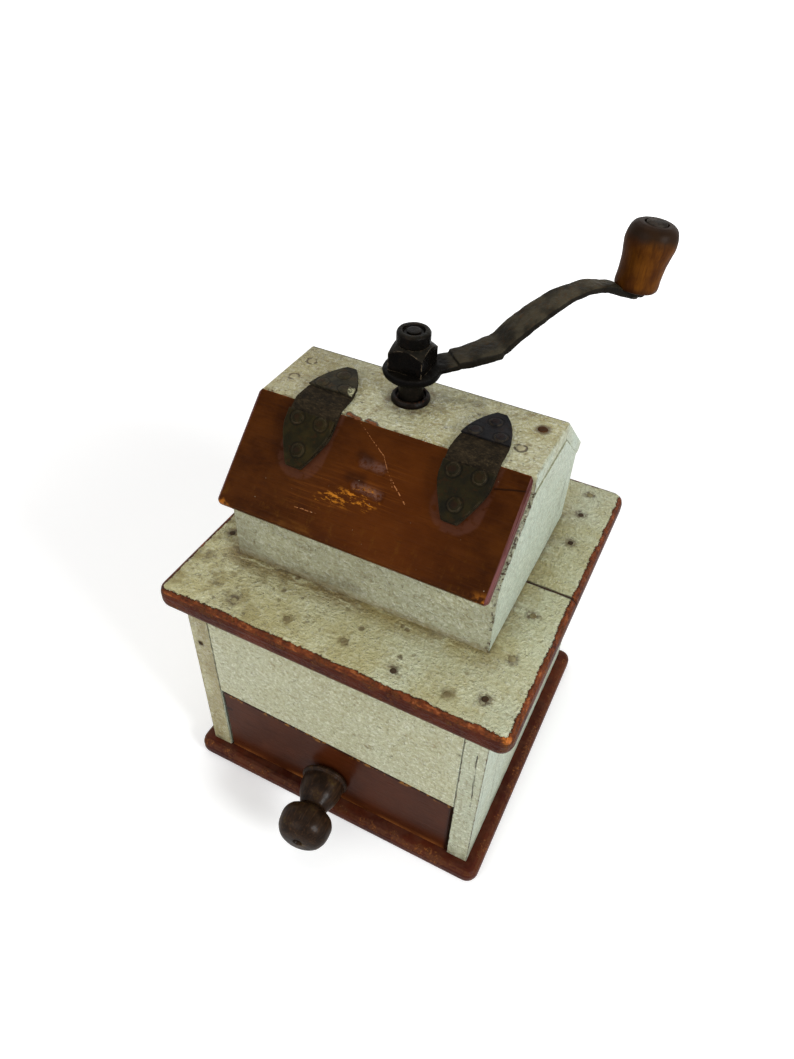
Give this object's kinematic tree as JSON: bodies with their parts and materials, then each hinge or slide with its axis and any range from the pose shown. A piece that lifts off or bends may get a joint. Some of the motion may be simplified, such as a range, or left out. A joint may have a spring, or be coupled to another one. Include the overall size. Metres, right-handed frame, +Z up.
{
  "type": "wooden box coffee grinder",
  "caption": "Wooden box coffee grinder: a gabled bean hopper with a hinged sloping lid, a hand crank on top, iron burrs inside and a drawer for the grounds.",
  "frame": {"origin": "middle of the base plate's underside, where the grinder rests", "axes": "+Z up along the crank's spindle, +Y to the rear, -Y out of the drawer's front, +X to the right seen from the front"},
  "size_m": [0.167, 0.1942, 0.2745],
  "materials": {
    "pale_paint": "old pale paint on wood, chipped and stained",
    "red_paint": "dark red-brown paint on wood, worn at the edges",
    "varnish": "glossy brown varnish with wear streaks",
    "raw_wood": "bare sawn wood",
    "dark_wood": "dark stained wood, satin",
    "honey_wood": "honey brown turned wood, worn smooth",
    "black_iron": "blackened iron with light rust",
    "cast_iron": "rough cast iron",
    "steel": "dull steel",
    "leather": "old dark leather"
  },
  "bodies": {
    "body": {"base_plate": "red_paint", "side_board_left": "pale_paint", "side_board_right": "pale_paint", "front_board": "pale_paint", "rear_board": "pale_paint", "mid_plate_front": "pale_paint", "mid_plate_rear": "pale_paint", "hopper_side_left": "pale_paint", "hopper_side_right": "pale_paint", "hopper_front_wall": "pale_paint", "hopper_rear_wall": "pale_paint", "top_board": "pale_paint", "rear_roof_board": "pale_paint", "left_hinge_strap_upper": "leather", "left_hinge_upper_plate": "black_iron", "right_hinge_strap_upper": "leather", "right_hinge_upper_plate": "black_iron", "spindle_collar": "black_iron", "burr_housing": "cast_iron", "outer_burr": "cast_iron", "housing_screw_1": "steel", "housing_screw_2": "steel", "housing_screw_3": "steel", "bearing_bridge": "black_iron", "bridge_screw_left": "steel", "bridge_screw_right": "steel", "adjusting_lock_nut": "black_iron"},
    "crank": {"spindle": "black_iron", "inner_burr": "cast_iron", "inner_burr_pin": "steel", "crank_arm": "black_iron", "crank_nut": "black_iron", "lock_nut": "black_iron", "handle_pin": "black_iron"},
    "handle": {"crank_handle": "honey_wood"},
    "lid": {"lid": "varnish", "left_hinge_strap_lower": "leather", "left_hinge_lower_plate": "black_iron", "right_hinge_strap_lower": "leather", "right_hinge_lower_plate": "black_iron"},
    "drawer": {"drawer_front": "red_paint", "drawer_side_left": "raw_wood", "drawer_side_right": "raw_wood", "drawer_back": "raw_wood", "drawer_bottom": "raw_wood", "drawer_knob": "dark_wood", "knob_screw": "steel"},
    "adjuster": {"adjusting_screw": "black_iron"}
  },
  "joints": [
    {"name": "crank_spin", "type": "hinge", "parent": "body", "child": "crank", "pos_m": [-0.0029, 0.0047, 0.21], "axis": [0, 0, 1], "continuous": true},
    {"name": "handle_spin", "type": "hinge", "parent": "crank", "child": "handle", "pos_m": [0.06484, 0.07244, 0.24681], "axis": [0.0739, 0.0739, 0.9945], "continuous": true},
    {"name": "lid_hinge", "type": "hinge", "parent": "body", "child": "lid", "pos_m": [0, -0.0182, 0.2093], "axis": [-1, 0, 0], "range_deg": [0, 75]},
    {"name": "drawer_slide", "type": "slide", "parent": "body", "child": "drawer", "axis": [0, -1, 0], "range_m": [0, 0.11]},
    {"name": "adjuster_turn", "type": "hinge", "parent": "body", "child": "adjuster", "pos_m": [-0.0029, 0.0047, 0.07], "axis": [0, 0, 1], "range_deg": [-180, 180]}
  ]
}
